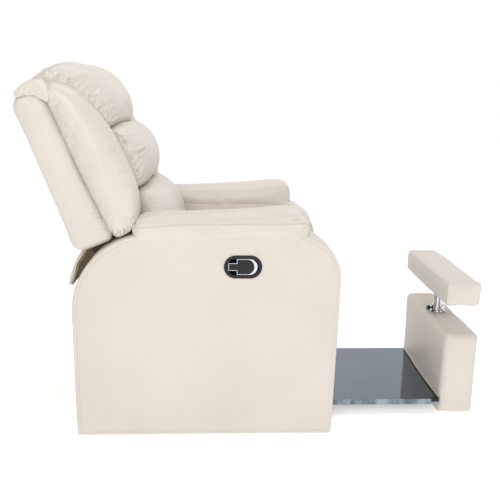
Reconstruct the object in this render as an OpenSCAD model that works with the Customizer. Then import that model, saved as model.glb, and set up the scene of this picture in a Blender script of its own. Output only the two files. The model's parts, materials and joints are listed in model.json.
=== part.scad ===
// Pedicure spa chair: reclining back between two box arms, with a footrest drawer in front.
// Millimetres, +Z up. The chair faces +X and its right-hand side is -Y. The floor is Z = 0.

/* [Overall] */
// Width over the two arm covers
chair_w = 700; // [600:1:800]
// Thickness of one arm
arm_t = 120; // [100:1:140]
// X of the back of the arms in the side profile
arm_back = -426; // [-460:1:-400]
// X of the front of the arms at the floor
arm_toe = 323; // [300:1:340]
// Gap from the floor to the arm covers
glide_h = 4; // [4:1:15]

/* [Arm profile] */
// X of the rear arc's centre, which is also the recline pivot
pivot_x = -196; // [-220:1:-180]
// Z of the rear arc's centre, which is also the recline pivot
pivot_z = 379; // [360:1:400]
// Radius of the rear arc
rear_r = 230; // [200:1:235]
// X of the front arc's centre
front_x = 200; // [180:1:220]
// Radius of the front arc
front_r = 136; // [120:1:150]
// Foam and cover over the arm boards
cover_t = 10; // [6:1:15]
// Plywood of the arm boards
board_t = 15; // [12:1:18]

/* [Armrest pads] */
// X of the front end of the pads
pad_front = 243; // [220:1:260]
// Height of the pads' crest at the front
pad_top = 676; // [650:1:690]
// Height of the pads' crest at the rear
pad_rear_top = 652; // [640:1:680]

/* [Back] */
// Lean of the back at rest, from vertical
back_tilt = 20.6; // [10:0.1:25]
// Largest recline from rest
recline_max = 35; // [0:1:35]
// Length of the crank under the pivot
crank_r = 100; // [90:1:110]
// Half width of the outer back shell
shell_hw = 335; // [320:1:345]
// Height of the shell's top along the back
shell_top = 683; // [640:1:700]
// Inner side of the side bolsters
bolster_in = 231; // [230:1:240]
// Outer side of the side bolsters
bolster_out = 346; // [330:1:350]

/* [Seat] */
// Top of the seat cushion
seat_top = 486; // [460:1:500]
// Underside of the seat cushion
seat_low = 356; // [350:1:380]
// Front of the seat cushion
seat_front = 330; // [310:1:334]

/* [Recline handle] */
// X of the middle of the handle's bezel
bezel_x = 56; // [30:1:80]
// Z of the middle of the handle's bezel
bezel_z = 516; // [490:1:540]
// Length of the bezel
bezel_l = 107; // [90:1:120]
// Height of the bezel
bezel_h = 66; // [50:1:80]

/* [Footrest drawer] */
// Back face of the footrest block, drawer open
block_back = 686; // [680:1:700]
// Front face of the footrest block, drawer open
block_front = 795; // [780:1:810]
// Half width of the footrest block
block_hw = 228; // [200:1:229]
// Top of the footrest block
block_top = 270; // [240:1:300]
// Top of the steel tray
tray_top = 50; // [44:1:60]
// Depth of the tray's folded edge
tray_edge = 18; // [12:1:20]
// Rear edge of the tray, drawer open
tray_back = -14; // [-40:1:0]

/* [Foot pad] */
// X of the foot pad's post
post_x = 734; // [720:1:745]
// Radius of the post
post_r = 17; // [15:0.5:20]
// Underside of the foot pad
pad_low = 358; // [350:1:380]
// Top of the foot pad
pad_high = 434; // [410:1:440]

/* [Hidden] */
$fn = 64;
arm_out = chair_w / 2;
arm_in = arm_out - arm_t;
shell_back = -136;
band_r = 16;
rear_x = pivot_x + shell_back * cos(back_tilt) - (shell_top - 34) * sin(back_tilt);
mid_x = (block_front + rear_x) / 2;
arm_top = pivot_z + rear_r;
front_z = arm_top - front_r;
skin_out = arm_out - cover_t;
skin_in = arm_in + cover_t;
crank_a = back_tilt + recline_max / 2;
crank_w = -crank_r * sin(crank_a);
crank_v = -crank_r * cos(crank_a);
tube_x = pivot_x - crank_r * sin(recline_max / 2);
lock_z = pivot_z - crank_r * (1 + cos(recline_max / 2)) / 2;
bracket_y = 213;
bracket_t = 6;
bracket_w = -62;
edge_w = 219.5;
roller_z = 40;
run = 0.05;
cream = [0.91, 0.88, 0.83];
tan_lining = [0.55, 0.5, 0.4];
timber = [0.76, 0.62, 0.44];
steel = [0.62, 0.63, 0.65];
bright = [0.85, 0.86, 0.88];
black = [0.09, 0.09, 0.1];
glossy = [0.32, 0.36, 0.42];

// Puts the side profile's own origin at the middle of the chair's length.
module placed() {
    translate([-mid_x, 0, 0])
        children();
}

// Turns an X-Z outline into a solid between two Y values.
module across(y0, y1) {
    translate([0, y1, 0])
        rotate([90, 0, 0])
            linear_extrude(height = y1 - y0)
                children();
}

// The same outline on the right-hand side only, from y0 to y1 away from the middle.
module right_side(y0, y1) {
    across(-y1, -y0)
        children();
}

module left_of() {
    mirror([0, 1, 0])
        children();
}

module both_sides() {
    children();
    left_of()
        children();
}

// The back's own frame: its first axis points forward, its second up along the back.
module in_back() {
    translate([pivot_x, 0, pivot_z])
        rotate([0, -back_tilt, 0])
            children();
}

module rod_y(x, z, r, y0, y1) {
    translate([x, y1, z])
        rotate([90, 0, 0])
            cylinder(r = r, h = y1 - y0);
}

module rod_x(y, z, r, x0, x1) {
    translate([x0, y, z])
        rotate([0, 90, 0])
            cylinder(r = r, h = x1 - x0);
}

module rod_z(x, y, r, z0, z1) {
    translate([x, y, z0])
        cylinder(r = r, h = z1 - z0);
}

module box(x0, x1, y0, y1, z0, z1) {
    translate([x0, y0, z0])
        cube([x1 - x0, y1 - y0, z1 - z0]);
}

// A soft block with every edge rounded.
module soft_box(x0, x1, y0, y1, z0, z1, r, facets = 24) {
    hull()
        for (x = [x0 + r, x1 - r], y = [y0 + r, y1 - r], z = [z0 + r, z1 - r])
            translate([x, y, z])
                sphere(r = r, $fn = facets);
}

// A soft block with a flat underside.
module soft_cap(x0, x1, y0, y1, z0, z1, r) {
    hull()
        for (x = [x0 + r, x1 - r], y = [y0 + r, y1 - r]) {
            translate([x, y, z0])
                cylinder(r = r, h = 1, $fn = 24);
            translate([x, y, z1 - r])
                sphere(r = r, $fn = 24);
        }
}

// A straight bar between two points of an outline.
module bar_2d(a, b, w) {
    translate(a)
        rotate(atan2(b[1] - a[1], b[0] - a[0]))
            translate([0, -w / 2])
                square([norm(b - a), w]);
}

module stadium(l, h) {
    square([l - h, h], center = true);
    for (s = [-1, 1])
        translate([s * (l - h) / 2, 0])
            circle(r = h / 2);
}

// Side outline of an arm, drawn in by a margin and cut off at a floor height.
module arm_2d(inset, low) {
    translate([pivot_x, pivot_z])
        circle(r = rear_r - inset);
    translate([front_x, front_z])
        circle(r = front_r - inset);
    translate([pivot_x, low])
        square([front_x - pivot_x, arm_top - inset - low]);
    polygon([
        [arm_back + inset, low],
        [arm_toe - inset, low],
        [front_x + front_r - inset, front_z],
        [front_x, front_z],
        [pivot_x, pivot_z],
        [arm_back + inset, pivot_z]
    ]);
}

module bezel_2d(l, h) {
    translate([bezel_x, bezel_z])
        stadium(l, h);
}

// ---- Arms ----

module frame_bolt_set() {
    for (x = [-244, -152], z = [334, 426])
        rod_y(x, z, 3, -skin_in - board_t + 1, -arm_in + 9);
}

module arm_cover() {
    difference() {
        right_side(arm_in, arm_out)
            arm_2d(0, glide_h);
        right_side(skin_in, skin_out)
            arm_2d(cover_t, 0);
        rod_y(pivot_x, pivot_z, 8, -skin_in - 1, -arm_in + 1);
        frame_bolt_set();
        children();
    }
}

module arm_cover_right() {
    color(cream)
        placed()
            arm_cover() {
                right_side(skin_out - 1, arm_out + 1)
                    bezel_2d(bezel_l - 10, bezel_h - 10);
                rod_y(bezel_x, lock_z, 3, -skin_in - 1, -arm_in + 1);
            }
}

module arm_cover_left() {
    color(cream)
        placed()
            left_of()
                arm_cover();
}

module outer_board() {
    right_side(skin_out - board_t, skin_out)
        arm_2d(cover_t, glide_h);
}

module inner_board() {
    difference() {
        right_side(skin_in, skin_in + board_t)
            arm_2d(cover_t, glide_h);
        rod_y(pivot_x, pivot_z, 8, -skin_in - board_t - 1, -skin_in + 1);
        frame_bolt_set();
        children();
    }
}

module arm_board_outer_right() {
    color(timber)
        placed()
            difference() {
                outer_board();
                right_side(skin_out - board_t - 1, skin_out + 1)
                    bezel_2d(bezel_l - 10, bezel_h - 10);
            }
}

module arm_board_outer_left() {
    color(timber)
        placed()
            left_of()
                outer_board();
}

module arm_board_inner_right() {
    color(timber)
        placed()
            inner_board()
                rod_y(bezel_x, lock_z, 3, -skin_in - board_t - 1, -skin_in + 1);
}

module arm_board_inner_left() {
    color(timber)
        placed()
            left_of()
                inner_board();
}

module arm_studs() {
    y0 = -skin_out + board_t;
    y1 = -skin_in - board_t;
    box(arm_back + 30, arm_toe - 30, y0, y1, glide_h, 48);
    box(arm_back + 20, arm_back + 60, y0, y1, 60, 360);
    box(arm_toe - 60, arm_toe - 20, y0, y1, 60, 440);
    box(pivot_x + 40, front_x, y0, y1, arm_top - 52, arm_top - 12);
    box(pivot_x + 60, pivot_x + 120, y0, y1, 300, 420);
}

module arm_studs_right() {
    color(timber)
        placed()
            arm_studs();
}

module arm_studs_left() {
    color(timber)
        placed()
            left_of()
                arm_studs();
}

module armrest_pad() {
    r = 30;
    y_out = -arm_out - 3 + r;
    y_in = -arm_in + 1 - r;
    difference() {
        hull()
            for (y = [y_out, y_in]) {
                translate([pivot_x - 26, y, pad_rear_top - r])
                    sphere(r = r, $fn = 24);
                for (x = [pivot_x - 26, pad_front - r])
                    translate([x, y, arm_top - 4])
                        sphere(r = r, $fn = 24);
                translate([pad_front - r - 10, y, pad_top - r])
                    sphere(r = r, $fn = 24);
            }
        right_side(arm_in - 10, arm_out)
            arm_2d(0, glide_h);
        in_back()
            rod_y(-344, 421, 430, -arm_out - 10, -arm_in + 10);
    }
}

module armrest_pad_right() {
    color(cream)
        placed()
            armrest_pad();
}

module armrest_pad_left() {
    color(cream)
        placed()
            left_of()
                armrest_pad();
}

// ---- Seat and base ----

module seat_rails() {
    color(timber)
        placed() {
            box(-135, -110, -arm_in, arm_in, 310, 350);
            box(110, 135, -arm_in + 25, arm_in - 25, 310, 350);
            box(285, 310, -arm_in, arm_in, 310, 350);
            both_sides()
                box(-110, 285, -arm_in, -arm_in + 25, 310, 350);
        }
}

module seat_webbing() {
    color(black)
        placed() {
            for (y = [-160, -80, 0, 80, 160])
                box(-135, 310, y - 25, y + 25, 350, 352);
            for (x = [-60, 40, 200])
                box(x - 25, x + 25, -arm_in, arm_in, 352, 354);
        }
}

module seat_cushion() {
    color(cream)
        placed()
            union() {
                soft_box(-134, seat_front, -arm_in + 3, arm_in - 3, seat_low, seat_top, 20);
                soft_box(pivot_x + 6, -100, -200, 200, seat_low, seat_top, 20);
            }
}

module front_apron() {
    color(cream)
        placed()
            difference() {
                soft_box(300, seat_front + 2, -arm_in + 0.5, arm_in - 0.5, 280, 354, 8);
                box(290, 310, -arm_in, arm_in, 270, 360);
            }
}

module base_rails() {
    color(timber)
        placed() {
            box(-402, -380, -arm_in, arm_in, 150, 240);
            box(-402, -380, -arm_in, arm_in, 60, 100);
            box(285, 315, -arm_in, arm_in, 10, 26);
            box(-60, -30, -arm_in, arm_in, 10, 26);
        }
}

module runner_channels() {
    color(steel)
        placed()
            both_sides()
                difference() {
                    box(-330, 320, -arm_in, -arm_in + 9, roller_z - 10.5, roller_z + 10.5);
                    box(-331, 321, -arm_in + 2, -arm_in + 10, roller_z - 8.5, roller_z + 8.5);
                }
}

module hinge_plates() {
    color(steel)
        placed()
            both_sides()
                difference() {
                    box(-256, -140, -arm_in, -arm_in + 6, 322, 438);
                    rod_y(pivot_x, pivot_z, 8, -arm_in - 1, -arm_in + 7);
                    for (x = [-244, -152], z = [334, 426])
                        rod_y(x, z, 3, -arm_in - 1, -arm_in + 7);
                }
}

module pivot_bolts() {
    color(bright)
        placed()
            both_sides() {
                rod_y(pivot_x, pivot_z, 8, -skin_in - board_t - 10, -bracket_y + 1);
                rod_y(pivot_x, pivot_z, 14, -bracket_y + 0.3, -bracket_y + 7);
                rod_y(pivot_x, pivot_z, 12, -arm_in + 6, -bracket_y - bracket_t - 0.3);
                translate([pivot_x, -skin_in - board_t, pivot_z])
                    rotate([90, 0, 0])
                        cylinder(r = 14, h = 8, $fn = 6);
            }
}

module floor_glides() {
    color(black)
        placed()
            both_sides()
                for (x = [arm_back + 60, -50, arm_toe - 60])
                    rod_z(x, -(arm_in + arm_out) / 2, 22, 0, glide_h);
}

module frame_bolts() {
    color(steel)
        placed()
            both_sides()
                frame_bolt_set();
}

// ---- Recline handle and lock ----

module handle_bezel() {
    color(black)
        placed()
            difference() {
                union() {
                    right_side(arm_out, arm_out + 2.5)
                        bezel_2d(bezel_l, bezel_h);
                    right_side(skin_out - board_t - 4, arm_out + 1)
                        bezel_2d(bezel_l - 10, bezel_h - 10);
                }
                right_side(skin_out - board_t, arm_out + 4)
                    bezel_2d(bezel_l - 18, bezel_h - 18);
                rod_z(bezel_x + 30, -arm_out + 9, 2.5, bezel_z - 25.5, bezel_z + 25.5);
                rod_y(bezel_x, bezel_z, 3, -skin_out + board_t - 1, -skin_out + board_t + 5);
            }
}

module handle_pin() {
    color(steel)
        placed()
            rod_z(bezel_x + 30, -arm_out + 9, 2.5, bezel_z - 25.5, bezel_z + 25.5);
}

module handle_spring() {
    color(steel)
        placed()
            for (z = [-2.6, -1.3, 0, 1.3, 2.6])
                translate([bezel_x + 30, -arm_out + 9, bezel_z + z])
                    rotate_extrude()
                        translate([4, 0])
                            circle(r = 0.6, $fn = 16);
}

module paddle_2d(inset) {
    translate([bezel_x, bezel_z]) {
        translate([18, 0])
            circle(r = 22.5 - inset);
        translate([inset - 17, inset - 22.5])
            square([35 - inset, 45 - 2 * inset]);
        translate([inset - 41, inset - 10.5])
            square([40, 21 - 2 * inset]);
    }
}

module paddle_trim_2d() {
    difference() {
        paddle_2d(0);
        paddle_2d(1.4);
    }
    difference() {
        translate([bezel_x + 18, bezel_z])
            circle(r = 22.5);
        translate([bezel_x + 10, bezel_z])
            circle(r = 22);
    }
}

module recline_handle() {
    color(black)
        placed()
            difference() {
                union() {
                    right_side(arm_out - 4, arm_out + 1)
                        paddle_2d(0);
                    for (z = [-14, 5])
                        translate([bezel_x + 30, -arm_out + 9, bezel_z + z])
                            cylinder(r = 5.5, h = 9);
                    for (z = [-14, 5])
                        box(bezel_x + 24.6, bezel_x + 33, -arm_out + 3, -arm_out + 9, bezel_z + z, bezel_z + z + 9);
                }
                rod_z(bezel_x + 30, -arm_out + 9, 2.5 + run, bezel_z - 20, bezel_z + 20);
                right_side(arm_out - 0.5, arm_out + 2)
                    paddle_trim_2d();
            }
}

module handle_trim() {
    color(bright)
        placed()
            right_side(arm_out - 0.5, arm_out + 1.5)
                paddle_trim_2d();
}

module lock_cylinder() {
    color(black)
        placed()
            difference() {
                union() {
                    rod_x(0, lock_z, 14, -120, 90);
                    box(80, 122, -7.5, 7.5, lock_z - 11, lock_z + 11);
                    rod_y(122, lock_z, 11, -7.5, 7.5);
                }
                rod_x(0, lock_z, 6 + run, -121, 75);
                rod_y(122, lock_z, 4, -8, 8);
            }
}

module lock_bracket() {
    color(steel)
        placed()
            difference() {
                union() {
                    for (s = [-1, 1])
                        box(108, 136, s * 10 - 2, s * 10 + 2, lock_z - 12, 310);
                    box(104, 140, -24, 24, 306, 310);
                }
                rod_y(122, lock_z, 4, -13, 13);
            }
}

module lock_pin() {
    color(bright)
        placed() {
            rod_y(122, lock_z, 4, -13, 13);
            for (s = [-1, 1])
                rod_y(122, lock_z, 7, s * 13.5 - 1.5, s * 13.5 + 1.5);
        }
}

module release_cable() {
    y_in = -skin_out + board_t + 24;
    color(black)
        placed() {
            rod_y(bezel_x, bezel_z, 3, -skin_out + board_t - 1, y_in);
            translate([bezel_x, y_in, bezel_z])
                sphere(r = 3);
            rod_z(bezel_x, y_in, 3, lock_z, bezel_z);
            translate([bezel_x, y_in, lock_z])
                sphere(r = 3);
            rod_y(bezel_x, lock_z, 3, y_in, -14);
        }
}

module lock_rod() {
    head = 17;
    color(bright)
        placed()
            difference() {
                union() {
                    rod_x(0, lock_z, 6, tube_x + head - 2, 0);
                    box(tube_x - head, tube_x + head, -8, 8, lock_z - 19, lock_z + 19);
                }
                rod_y(tube_x, lock_z + 3.2, 10.5, -9, 9);
                rod_y(tube_x, lock_z - 3.2, 10.5, -9, 9);
                box(tube_x - 10.5, tube_x + 10.5, -9, 9, lock_z - 3.2, lock_z + 3.2);
            }
}

// ---- Back ----

// Side outline of the outer shell, drawn in by a margin.
module shell_2d(inset) {
    intersection() {
        polygon([
            [shell_back + 22, 231 + inset],
            [-30 - inset, 237 + inset],
            [-54 - inset, 645],
            [-88, shell_top - inset],
            [shell_back + 26, shell_top - inset],
            [shell_back + inset, shell_top - 34],
            [shell_back + inset, 262]
        ]);
        translate([-200, 0])
            square([200, 900]);
    }
}

module bracket_2d() {
    difference() {
        union() {
            circle(r = 30);
            bar_2d([0, 0], [crank_w, crank_v], 36);
            translate([crank_w, crank_v])
                circle(r = 20);
            bar_2d([0, 0], [bracket_w, 150], 36);
            translate([bracket_w, 150])
                circle(r = 20);
            bar_2d([bracket_w, 150], [bracket_w, 335], 35);
        }
        circle(r = 8 + run);
        for (v = [290, 325])
            translate([bracket_w - 10, v])
                circle(r = 3);
    }
}

module back_brackets() {
    color(steel)
        placed()
            both_sides()
                in_back()
                    right_side(bracket_y, bracket_y + bracket_t)
                        bracket_2d();
}

module bracket_bolts() {
    color(bright)
        placed()
            both_sides()
                in_back()
                    for (v = [290, 325])
                        rod_y(bracket_w - 10, v, 3, -bracket_y - 25, -bracket_y + 4);
}

module torque_tube() {
    color(steel)
        placed()
            in_back()
                difference() {
                    rod_y(crank_w, crank_v, 10, -bracket_y, bracket_y);
                    rod_y(crank_w, crank_v, 8, -bracket_y - 1, bracket_y + 1);
                }
}

module back_stiles() {
    color(timber)
        placed()
            both_sides()
                in_back()
                    difference() {
                        union() {
                            box(-82, -62, -249, -219, 250, 640);
                            box(-82, -62, -322, -292, 250, 640);
                        }
                        for (v = [290, 325])
                            rod_y(bracket_w - 10, v, 3, -bracket_y - 25, -bracket_y);
                    }
}

module back_rails() {
    color(timber)
        placed()
            in_back()
                for (v = [250, 430, 600])
                    box(-104, -82, -322, 322, v, v + 40);
}

module panel_2d() {
    polygon([[-30, 104], [-20, 104], [-20, 237], [-44, 645], [-54, 645], [-30, 237]]);
}

module back_panel() {
    color(timber)
        placed()
            in_back()
                across(-205, 205)
                    panel_2d();
}

module back_shell() {
    color(cream)
        placed()
            in_back()
                difference() {
                    across(-shell_hw, shell_hw)
                        shell_2d(0);
                    across(-shell_hw + 10, shell_hw - 10)
                        shell_2d(8);
                    both_sides()
                        box(-82, -42, -bracket_y - 8, -bracket_y + 2, 225, 250);
                }
}

// Side outline of a bolster: a long bulge in front of the shell.
module bolster_2d() {
    intersection() {
        translate([-344, 421])
            circle(r = 427);
        union() {
            polygon([[-30, 262], [-54, 645], [-60, 682], [-4, 680], [90, 600], [90, 262]]);
            polygon([[-30, 262], [-30, 237], [14, 238], [36, 248], [60, 262]]);
        }
    }
}

module bolster() {
    in_back()
        right_side(bolster_in, bolster_out)
            bolster_2d();
}

module bolster_right() {
    color(cream)
        placed()
            bolster();
}

module bolster_left() {
    color(cream)
        placed()
            left_of()
                bolster();
}

// Everything that the front rolls rest against.
module behind_rolls_2d() {
    polygon([[-150, 90], [-20, 90], [-20, 237], [-46, 683], [-150, 683]]);
}

module top_band() {
    color(cream)
        placed()
            in_back()
                difference() {
                    across(-shell_hw + 1, shell_hw - 1)
                        hull() {
                            translate([shell_back + 32, shell_top + 2])
                                circle(r = band_r, $fn = 32);
                            translate([0, shell_top + 17])
                                circle(r = 28, $fn = 32);
                            translate([38, shell_top + 5])
                                circle(r = 32, $fn = 32);
                        }
                    box(-150, 120, -400, 400, 600, shell_top);
                }
}

module headrest_roll() {
    color(cream)
        placed()
            in_back()
                difference() {
                    across(-bolster_in + 3, bolster_in - 3)
                        hull() {
                            translate([37, 600])
                                circle(r = 70, $fn = 48);
                            translate([30, 572])
                                circle(r = 50, $fn = 48);
                            translate([40, 628])
                                circle(r = 55, $fn = 48);
                            translate([-60, 523])
                                square([20, 160]);
                        }
                    across(-300, 300)
                        behind_rolls_2d();
                    box(-150, 150, -400, 400, shell_top, 800);
                }
}

module middle_roll() {
    color(cream)
        placed()
            in_back()
                across(-bolster_in + 3, bolster_in - 3)
                    difference() {
                        union() {
                            intersection() {
                                translate([12, 426])
                                    circle(r = 124);
                                translate([0, 333])
                                    square([140, 188]);
                            }
                            translate([-60, 333])
                                square([70, 188]);
                        }
                        behind_rolls_2d();
                    }
}

module lumbar_roll() {
    color(cream)
        placed()
            in_back()
                across(-arm_in + 3, arm_in - 3)
                    difference() {
                        union() {
                            intersection() {
                                translate([-27, 214])
                                    circle(r = 165);
                                translate([0, 102])
                                    square([140, 228]);
                            }
                            translate([-30, 102])
                                square([40, 228]);
                        }
                        behind_rolls_2d();
                    }
}

module rear_flap() {
    color(tan_lining)
        placed()
            across(-arm_in + 5, arm_in - 5)
                intersection() {
                    translate([pivot_x, pivot_z])
                        difference() {
                            circle(r = rear_r + 38, $fn = 180);
                            circle(r = rear_r + 26, $fn = 180);
                        }
                    translate([pivot_x, pivot_z])
                        polygon([[0, 0], [-300, 53], [-400, 53], [-400, 300], [-300, 261]]);
                }
}

// ---- Footrest drawer ----

module drawer_tray() {
    color(glossy)
        placed()
            difference() {
                box(tray_back, block_back, -edge_w, edge_w, tray_top - tray_edge, tray_top);
                box(tray_back + 2, block_back - 2, -edge_w + 2, edge_w - 2, 0, tray_top - 2);
                for (x = [10, 150])
                    rod_y(x, roller_z, 3, -edge_w - 1, edge_w + 1);
            }
}

module tray_clip() {
    color(black)
        placed()
            difference() {
                box(block_back - 24, block_back, -edge_w - 2, -edge_w + 10, tray_top - 9, tray_top + 2);
                box(block_back - 25, block_back + 1, -edge_w, -edge_w + 11, tray_top - 10, tray_top);
            }
}

module block_core() {
    x0 = block_back + cover_t;
    x1 = block_front - cover_t;
    y1 = block_hw - cover_t;
    color(timber)
        placed()
            difference() {
                box(x0, x1, -y1, y1, 38, block_top - cover_t);
                box(x0 + 12, x1 - 12, -y1 + 12, y1 - 12, 50, block_top - cover_t - 12);
                rod_z(post_x, 0, 21, block_top - cover_t - 13, block_top);
            }
}

module block_cover() {
    color(cream)
        placed()
            difference() {
                soft_cap(block_back, block_front, -block_hw, block_hw, 4, block_top, 16);
                box(block_back + cover_t, block_front - cover_t,
                    -block_hw + cover_t, block_hw - cover_t, 0, block_top - cover_t);
                rod_z(post_x, 0, 21, block_top - cover_t - 1, block_top + 1);
            }
}

module post_sleeve() {
    color(steel)
        placed()
            difference() {
                union() {
                    rod_z(post_x, 0, 21, 56, block_top);
                    box(post_x - 26, post_x + 26, -40, 40, 50, 56);
                }
                rod_z(post_x, 0, post_r + run, 55, block_top + 1);
            }
}

module post_collar() {
    color(bright)
        placed()
            difference() {
                union() {
                    rod_z(post_x, 0, 26, block_top, block_top + 5);
                    rod_z(post_x, 0, 22, block_top, block_top + 24);
                }
                rod_z(post_x, 0, post_r + run, block_top - 1, block_top + 25);
                rod_x(0, block_top + 13, 3 + run, post_x - 30, post_x);
            }
}

module side_axles() {
    color(bright)
        placed()
            both_sides()
                for (x = [10, 150])
                    rod_y(x, roller_z, 3, -edge_w - 8, -edge_w + 12);
}

module side_pair(x) {
    color(black)
        placed()
            both_sides()
                difference() {
                    rod_y(x, roller_z, 8, -edge_w - 7.5, -edge_w - 1.8);
                    rod_y(x, roller_z, 3 + run, -edge_w - 9, -edge_w);
                }
}

module side_rollers_front() {
    side_pair(150);
}

module side_rollers_rear() {
    side_pair(10);
}

module floor_axle() {
    color(steel)
        placed() {
            rod_y(740, 16, 4, -205, 205);
            for (y = [-196, -144, 144, 196])
                box(732, 748, y - 1.5, y + 1.5, 12, 38);
        }
}

module floor_rollers() {
    color(black)
        placed()
            both_sides()
                difference() {
                    rod_y(740, 16, 16, -184, -156);
                    rod_y(740, 16, 4 + run, -185, -155);
                }
}

// ---- Foot pad ----

module footrest_post() {
    color(bright)
        placed()
            union() {
                difference() {
                    rod_z(post_x, 0, post_r, 145, pad_low + 30);
                    rod_z(post_x, 0, post_r - 2.5, 144, pad_low + 24);
                }
                rod_x(0, pad_low + 18, 2.5, post_x + post_r - 2, post_x + 24);
            }
}

module lock_knob() {
    z = block_top + 13;
    color(black)
        placed()
            union() {
                rod_x(0, z, 3, post_x - 34, post_x - post_r - 0.3);
                rod_x(0, z, 6, post_x - 38, post_x - 28);
                for (a = [0:60:300])
                    translate([post_x - 38, 6 * sin(a), z + 6 * cos(a)])
                        rotate([0, 90, 0])
                            cylinder(r = 1.5, h = 10, $fn = 16);
            }
}

module foot_pad_cushion() {
    color(cream)
        placed()
            difference() {
                soft_box(681, 789, -229, 229, pad_low, pad_high, 18, 28);
                box(695, 775, -205, 205, pad_low - 1, pad_low + 16);
                rod_z(post_x, 0, 26, pad_low, pad_low + 34);
            }
}

module foot_pad_board() {
    color(timber)
        placed()
            difference() {
                box(695, 775, -205, 205, pad_low + 4, pad_low + 16);
                rod_z(post_x, 0, 26, pad_low, pad_low + 20);
            }
}

module foot_pad_hub() {
    color(steel)
        placed()
            difference() {
                union() {
                    rod_z(post_x, 0, 22, pad_low + 2, pad_low + 33);
                    box(post_x - 30, post_x + 30, -60, 60, pad_low + 1, pad_low + 4);
                }
                rod_z(post_x, 0, post_r + run, pad_low, pad_low + 30.5);
                box(post_x + 10, post_x + 30, -6.5, 6.5, pad_low + 15.2, pad_low + 20.8);
            }
}

arm_cover_right();
arm_cover_left();
arm_board_outer_right();
arm_board_inner_right();
arm_board_outer_left();
arm_board_inner_left();
arm_studs_right();
arm_studs_left();
armrest_pad_right();
armrest_pad_left();
seat_rails();
seat_webbing();
seat_cushion();
front_apron();
base_rails();
runner_channels();
hinge_plates();
pivot_bolts();
floor_glides();
frame_bolts();
handle_bezel();
handle_pin();
handle_spring();
lock_cylinder();
lock_bracket();
lock_pin();
release_cable();
back_stiles();
back_rails();
back_panel();
back_shell();
bolster_right();
bolster_left();
top_band();
headrest_roll();
middle_roll();
lumbar_roll();
rear_flap();
back_brackets();
bracket_bolts();
torque_tube();
lock_rod();
recline_handle();
handle_trim();
drawer_tray();
tray_clip();
block_core();
block_cover();
post_sleeve();
post_collar();
side_axles();
floor_axle();
side_rollers_front();
side_rollers_rear();
floor_rollers();
footrest_post();
lock_knob();
foot_pad_cushion();
foot_pad_board();
foot_pad_hub();
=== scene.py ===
import json
import math

import bmesh
import bpy
import numpy as np
from mathutils import Matrix, Vector, noise
from mathutils.bvhtree import BVHTree


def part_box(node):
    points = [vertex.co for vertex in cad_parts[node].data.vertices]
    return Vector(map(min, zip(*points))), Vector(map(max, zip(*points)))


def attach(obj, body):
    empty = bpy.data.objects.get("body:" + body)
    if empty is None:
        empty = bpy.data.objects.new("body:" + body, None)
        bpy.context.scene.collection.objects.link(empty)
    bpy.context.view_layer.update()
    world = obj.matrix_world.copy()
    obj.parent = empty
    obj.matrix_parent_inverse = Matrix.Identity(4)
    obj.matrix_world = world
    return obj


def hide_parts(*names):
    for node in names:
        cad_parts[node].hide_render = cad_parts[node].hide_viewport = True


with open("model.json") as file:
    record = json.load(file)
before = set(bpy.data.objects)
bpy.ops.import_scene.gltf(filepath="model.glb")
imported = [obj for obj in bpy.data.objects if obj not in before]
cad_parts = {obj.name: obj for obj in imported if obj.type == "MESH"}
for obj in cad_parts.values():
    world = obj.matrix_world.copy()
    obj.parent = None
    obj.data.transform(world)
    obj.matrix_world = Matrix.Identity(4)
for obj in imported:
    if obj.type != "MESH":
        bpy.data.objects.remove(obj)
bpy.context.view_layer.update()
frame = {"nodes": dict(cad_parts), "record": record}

JOINTS = {j["name"]: j for j in frame["record"]["behaviour"]["joints"]}
PIVOT = Vector(JOINTS["back_recline"]["pos_m"])
SHIFT = PIVOT.x + 0.196          # the side profile is drawn with the pivot at x = -0.196
TILT = math.radians(20.6)        # lean of the back at rest
ARM_LO, ARM_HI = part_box("arm_cover_right")
ARM_OUT, ARM_IN = -ARM_LO.y, -ARM_HI.y
ARM_TOP, ARM_LOW = ARM_HI.z, ARM_LO.z
REAR_R, FRONT_R, FRONT_X = 0.230, 0.136, 0.200
BEZEL_LO, BEZEL_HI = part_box("handle_bezel")
POST_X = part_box("footrest_post")[0].x + 0.017          # the post's axis
NEAR = (-1,)                                           # folds on the right-hand side only
BEZEL = ((BEZEL_LO.x + BEZEL_HI.x) / 2 - SHIFT, (BEZEL_LO.z + BEZEL_HI.z) / 2)


# ---- Shaping tools ----

def mesh_object(name, verts, faces, mat, body):
    """A smooth mesh that rides on a body."""
    mesh = bpy.data.meshes.new(name)
    mesh.from_pydata([tuple(v) for v in verts], [], [tuple(int(i) for i in f) for f in faces])
    mesh.validate()
    mesh.polygons.foreach_set("use_smooth", [True] * len(mesh.polygons))
    obj = bpy.data.objects.new(name, mesh)
    bpy.context.scene.collection.objects.link(obj)
    obj.data.materials.append(mat)
    outward(obj)
    obj["body_name"] = body
    return obj


def outward(obj):
    """Turns every face outwards."""
    bm = bmesh.new()
    bm.from_mesh(obj.data)
    bmesh.ops.remove_doubles(bm, verts=bm.verts, dist=1e-6)
    bmesh.ops.recalc_face_normals(bm, faces=bm.faces)
    bm.to_mesh(obj.data)
    bm.free()


def loft(rings, close_first=True, close_last=True):
    """Skins closed rings of points, each ring with as many points as the next."""
    rings = np.asarray(rings, float)
    count, n = rings.shape[:2]
    verts = list(rings.reshape(-1, 3))
    k = np.arange(n)
    faces = []
    for r in range(count - 1):
        a = r * n + k
        b = r * n + (k + 1) % n
        faces += list(np.stack([a, b, b + n, a + n], 1))
    for close, ring in ((close_first, 0), (close_last, count - 1)):
        if close:
            verts.append(rings[ring].mean(0))
            hub = len(verts) - 1
            faces += [(ring * n + i, ring * n + (i + 1) % n, hub) for i in range(n)]
    return verts, faces


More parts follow.
